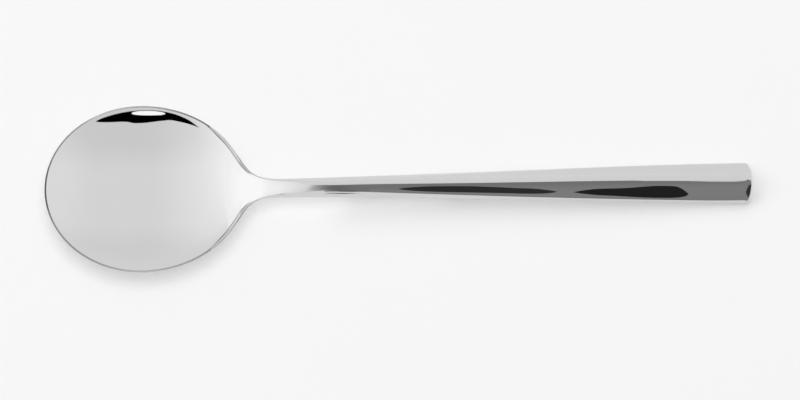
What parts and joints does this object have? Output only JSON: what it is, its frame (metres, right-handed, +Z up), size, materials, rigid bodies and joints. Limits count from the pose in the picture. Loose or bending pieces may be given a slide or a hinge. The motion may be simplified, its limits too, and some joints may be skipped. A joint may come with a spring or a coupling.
{
  "type": "salad serving spoon",
  "caption": "Polished steel serving spoon with a wide oval bowl, a slim neck and a hollow, softly ridged handle that widens to a blunt butt.",
  "frame": {"origin": "on the table plane, under the middle of the spoon's length and width", "axes": "+X along the spoon from the bowl to the butt, +Y across it, +Z up out of the bowl"},
  "size_m": [0.25, 0.06, 0.0126],
  "materials": {
    "polished_steel": "polished",
    "solder": "satin",
    "resin": "matte"
  },
  "bodies": {
    "root": {"bowl": "polished_steel", "handle_top_shell": "polished_steel", "handle_bottom_shell": "polished_steel", "neck_solder": "solder", "handle_filler": "resin"}
  },
  "joints": []
}
